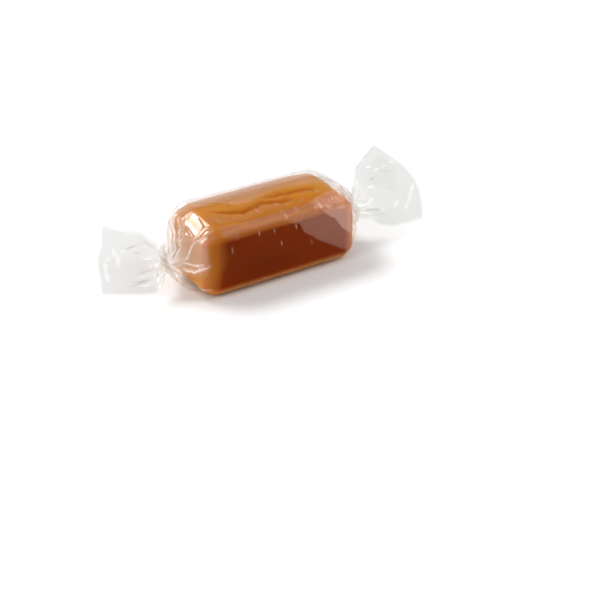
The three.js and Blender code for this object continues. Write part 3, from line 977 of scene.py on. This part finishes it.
def film_material():
    """Clear glossy film, cloudy where it stands off the bar, is gathered or carries painted sheen, with
    painted glints, highlights and dark reflections along its creases and a painted reflection over the bar's
    front.
    """
    n = Nodes("film")
    names = ("milk", "loose", "reflection_veil", "wrung", "tail", "crease")
    milk, loose, reflection_veil, wrung, tail, crease = (n.attribute(name) for name in names)
    standing = n.math("MINIMUM", loose, 1)
    bump = n.bump(n.noise(420, 3, 0.5), 0.25)
    facing = n.add("ShaderNodeLayerWeight", {"Blend": 0.5, "Normal": bump}).outputs["Facing"]
    # Tightly laid film takes the look of the caramel under it; loose film shines more.
    straight = n.math("MULTIPLY_ADD", tail, -0.055, n.math("MULTIPLY_ADD", standing, 0.064, 0.006))
    edge = n.math("MULTIPLY_ADD", wrung, -0.58, 0.7)
    mirror = n.math("MULTIPLY_ADD", n.math("POWER", facing, 4.0), edge, straight)
    shine = n.mix(loose, TIGHT_SHINE, WHITE)
    gloss = n.shader("Glossy", {"Color": shine, "Roughness": 0.09, "Normal": bump})
    # Pale creases are painted glints over the bar, white and rough-glossy over real raised folds; in the
    # tails they are painted highlights, fully clear over the bright floor. Dull creases in the tails, painted
    # dark reflections, and the tails' shades let less through.
    pale = n.math("MULTIPLY", crease, 1.0, clamp=True)
    dull = n.math("MULTIPLY", crease, -1.0, clamp=True)
    tail_highlight = n.math("MULTIPLY", pale, tail)
    glint = n.math("MULTIPLY", n.math("SUBTRACT", pale, tail_highlight), 0.9)
    # Painted glints: white and rough-glossy, warm over the bar.
    glint_colour = n.mix(wrung, GLINT_COLOUR, WHITE)
    shiny = n.shader("Glossy", {"Color": glint_colour, "Roughness": 0.45, "Normal": bump})
    glint_shader = n.blend(0.5, n.shader("Diffuse", {"Color": glint_colour}), shiny)
    clearness = n.mix(n.math("MAXIMUM", milk, wrung), SLEEVE_CLEAR, GATHER_CLEAR)
    clearness = n.mix(dull, n.mix(tail, clearness, TAIL_CLEAR), DULL_CLEAR)
    clear = n.shader("Transparent", {"Color": n.mix(tail_highlight, clearness, WHITE)})
    # Under the painted reflection over the bar's front the haze is warm.
    tint = n.mix(n.math("MULTIPLY", reflection_veil, 8.0, clamp=True), HAZE_COLOUR, REFLECTION_VEIL_COLOUR)
    satin = n.shader("Glossy", {"Color": tint, "Roughness": 0.45, "Normal": bump})
    haze = n.blend(0.3, n.shader("Diffuse", {"Color": tint}), n.shader("Translucent", {"Color": tint}))
    cloudy = n.blend(n.math("MULTIPLY_ADD", standing, -0.4, 0.4), haze, satin)
    thin = n.math("SUBTRACT", n.math("MULTIPLY_ADD", wrung, -0.6, 1.0), n.math("MULTIPLY", tail, 0.4))
    mist = n.math("MULTIPLY", n.math("MULTIPLY", loose, 0.09), thin)
    # The painted reflection adds haze over the bar's front.
    share = n.math("MULTIPLY_ADD", milk, 0.6, n.math("ADD", mist, reflection_veil))
    body = n.blend(glint, n.blend(share, clear, cloudy), glint_shader)
    return n.surface(n.blend(mirror, body, gloss))


def floor_material():
    n = Nodes("floor")
    return n.surface(n.shader("Diffuse", {"Color": FLOOR_COLOUR}))


# --- the studio ---

def make_floor():
    bpy.ops.mesh.primitive_plane_add(size=FLOOR_SIZE)
    floor = bpy.context.object
    floor.name = "studio_floor"
    floor.data.materials.append(floor_material())


def make_light(name, place, size, power):
    data = bpy.data.lights.new(name, "AREA")
    data.shape = "RECTANGLE"
    data.size, data.size_y = size
    data.energy = power
    light = bpy.data.objects.new(name, data)
    bpy.context.scene.collection.objects.link(light)
    light.location = place
    direction = light.location - bpy.data.objects["aim"].location
    light.rotation_euler = direction.to_track_quat("Z", "Y").to_euler()


def make_world():
    """A pale surround, brightest low down."""
    world = bpy.data.worlds.new("studio")
    bpy.context.scene.world = world
    world.use_nodes = True
    tree = world.node_tree
    direction = tree.nodes.new("ShaderNodeTexCoord")
    height = tree.nodes.new("ShaderNodeSeparateXYZ")
    glow = tree.nodes.new("ShaderNodeMapRange")
    glow.interpolation_type = "SMOOTHSTEP"
    for name, value in SURROUND.items():
        glow.inputs[name].default_value = value
    background = tree.nodes["Background"]
    background.inputs["Color"].default_value = WHITE
    tree.links.new(direction.outputs["Generated"], height.inputs["Vector"])
    tree.links.new(height.outputs["Z"], glow.inputs["Value"])
    tree.links.new(glow.outputs["Result"], background.inputs["Strength"])


def make_studio():
    scene = bpy.context.scene
    aim = bpy.data.objects.new("aim", None)
    scene.collection.objects.link(aim)
    aim.location = BAR_MIDDLE * MM
    make_floor()
    for light in LIGHTS:
        make_light(*light)
    make_world()
    scene.view_settings.view_transform = "Standard"
    scene.cycles.transparent_max_bounces = 32
    scene.cycles.max_bounces = 16


def make_camera():
    data = bpy.data.cameras.new("camera")
    data.lens = CAMERA["lens"]
    data.sensor_width = CAMERA["film"]
    camera = bpy.data.objects.new("camera", data)
    bpy.context.scene.collection.objects.link(camera)
    camera.location = CAMERA["place"]
    camera.rotation_euler = (math.radians(90 - CAMERA["down"]), 0, -math.radians(CAMERA["turn"]))
    bpy.context.scene.camera = camera


# --- assembly ---

def dress(piece, node, material):
    piece.data.materials.append(material)
    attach(piece, "root")
    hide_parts(node)


make_camera()
make_studio()
dress(make_caramel(), "caramel", caramel_material())
dress(make_film(), "wrapper", film_material())
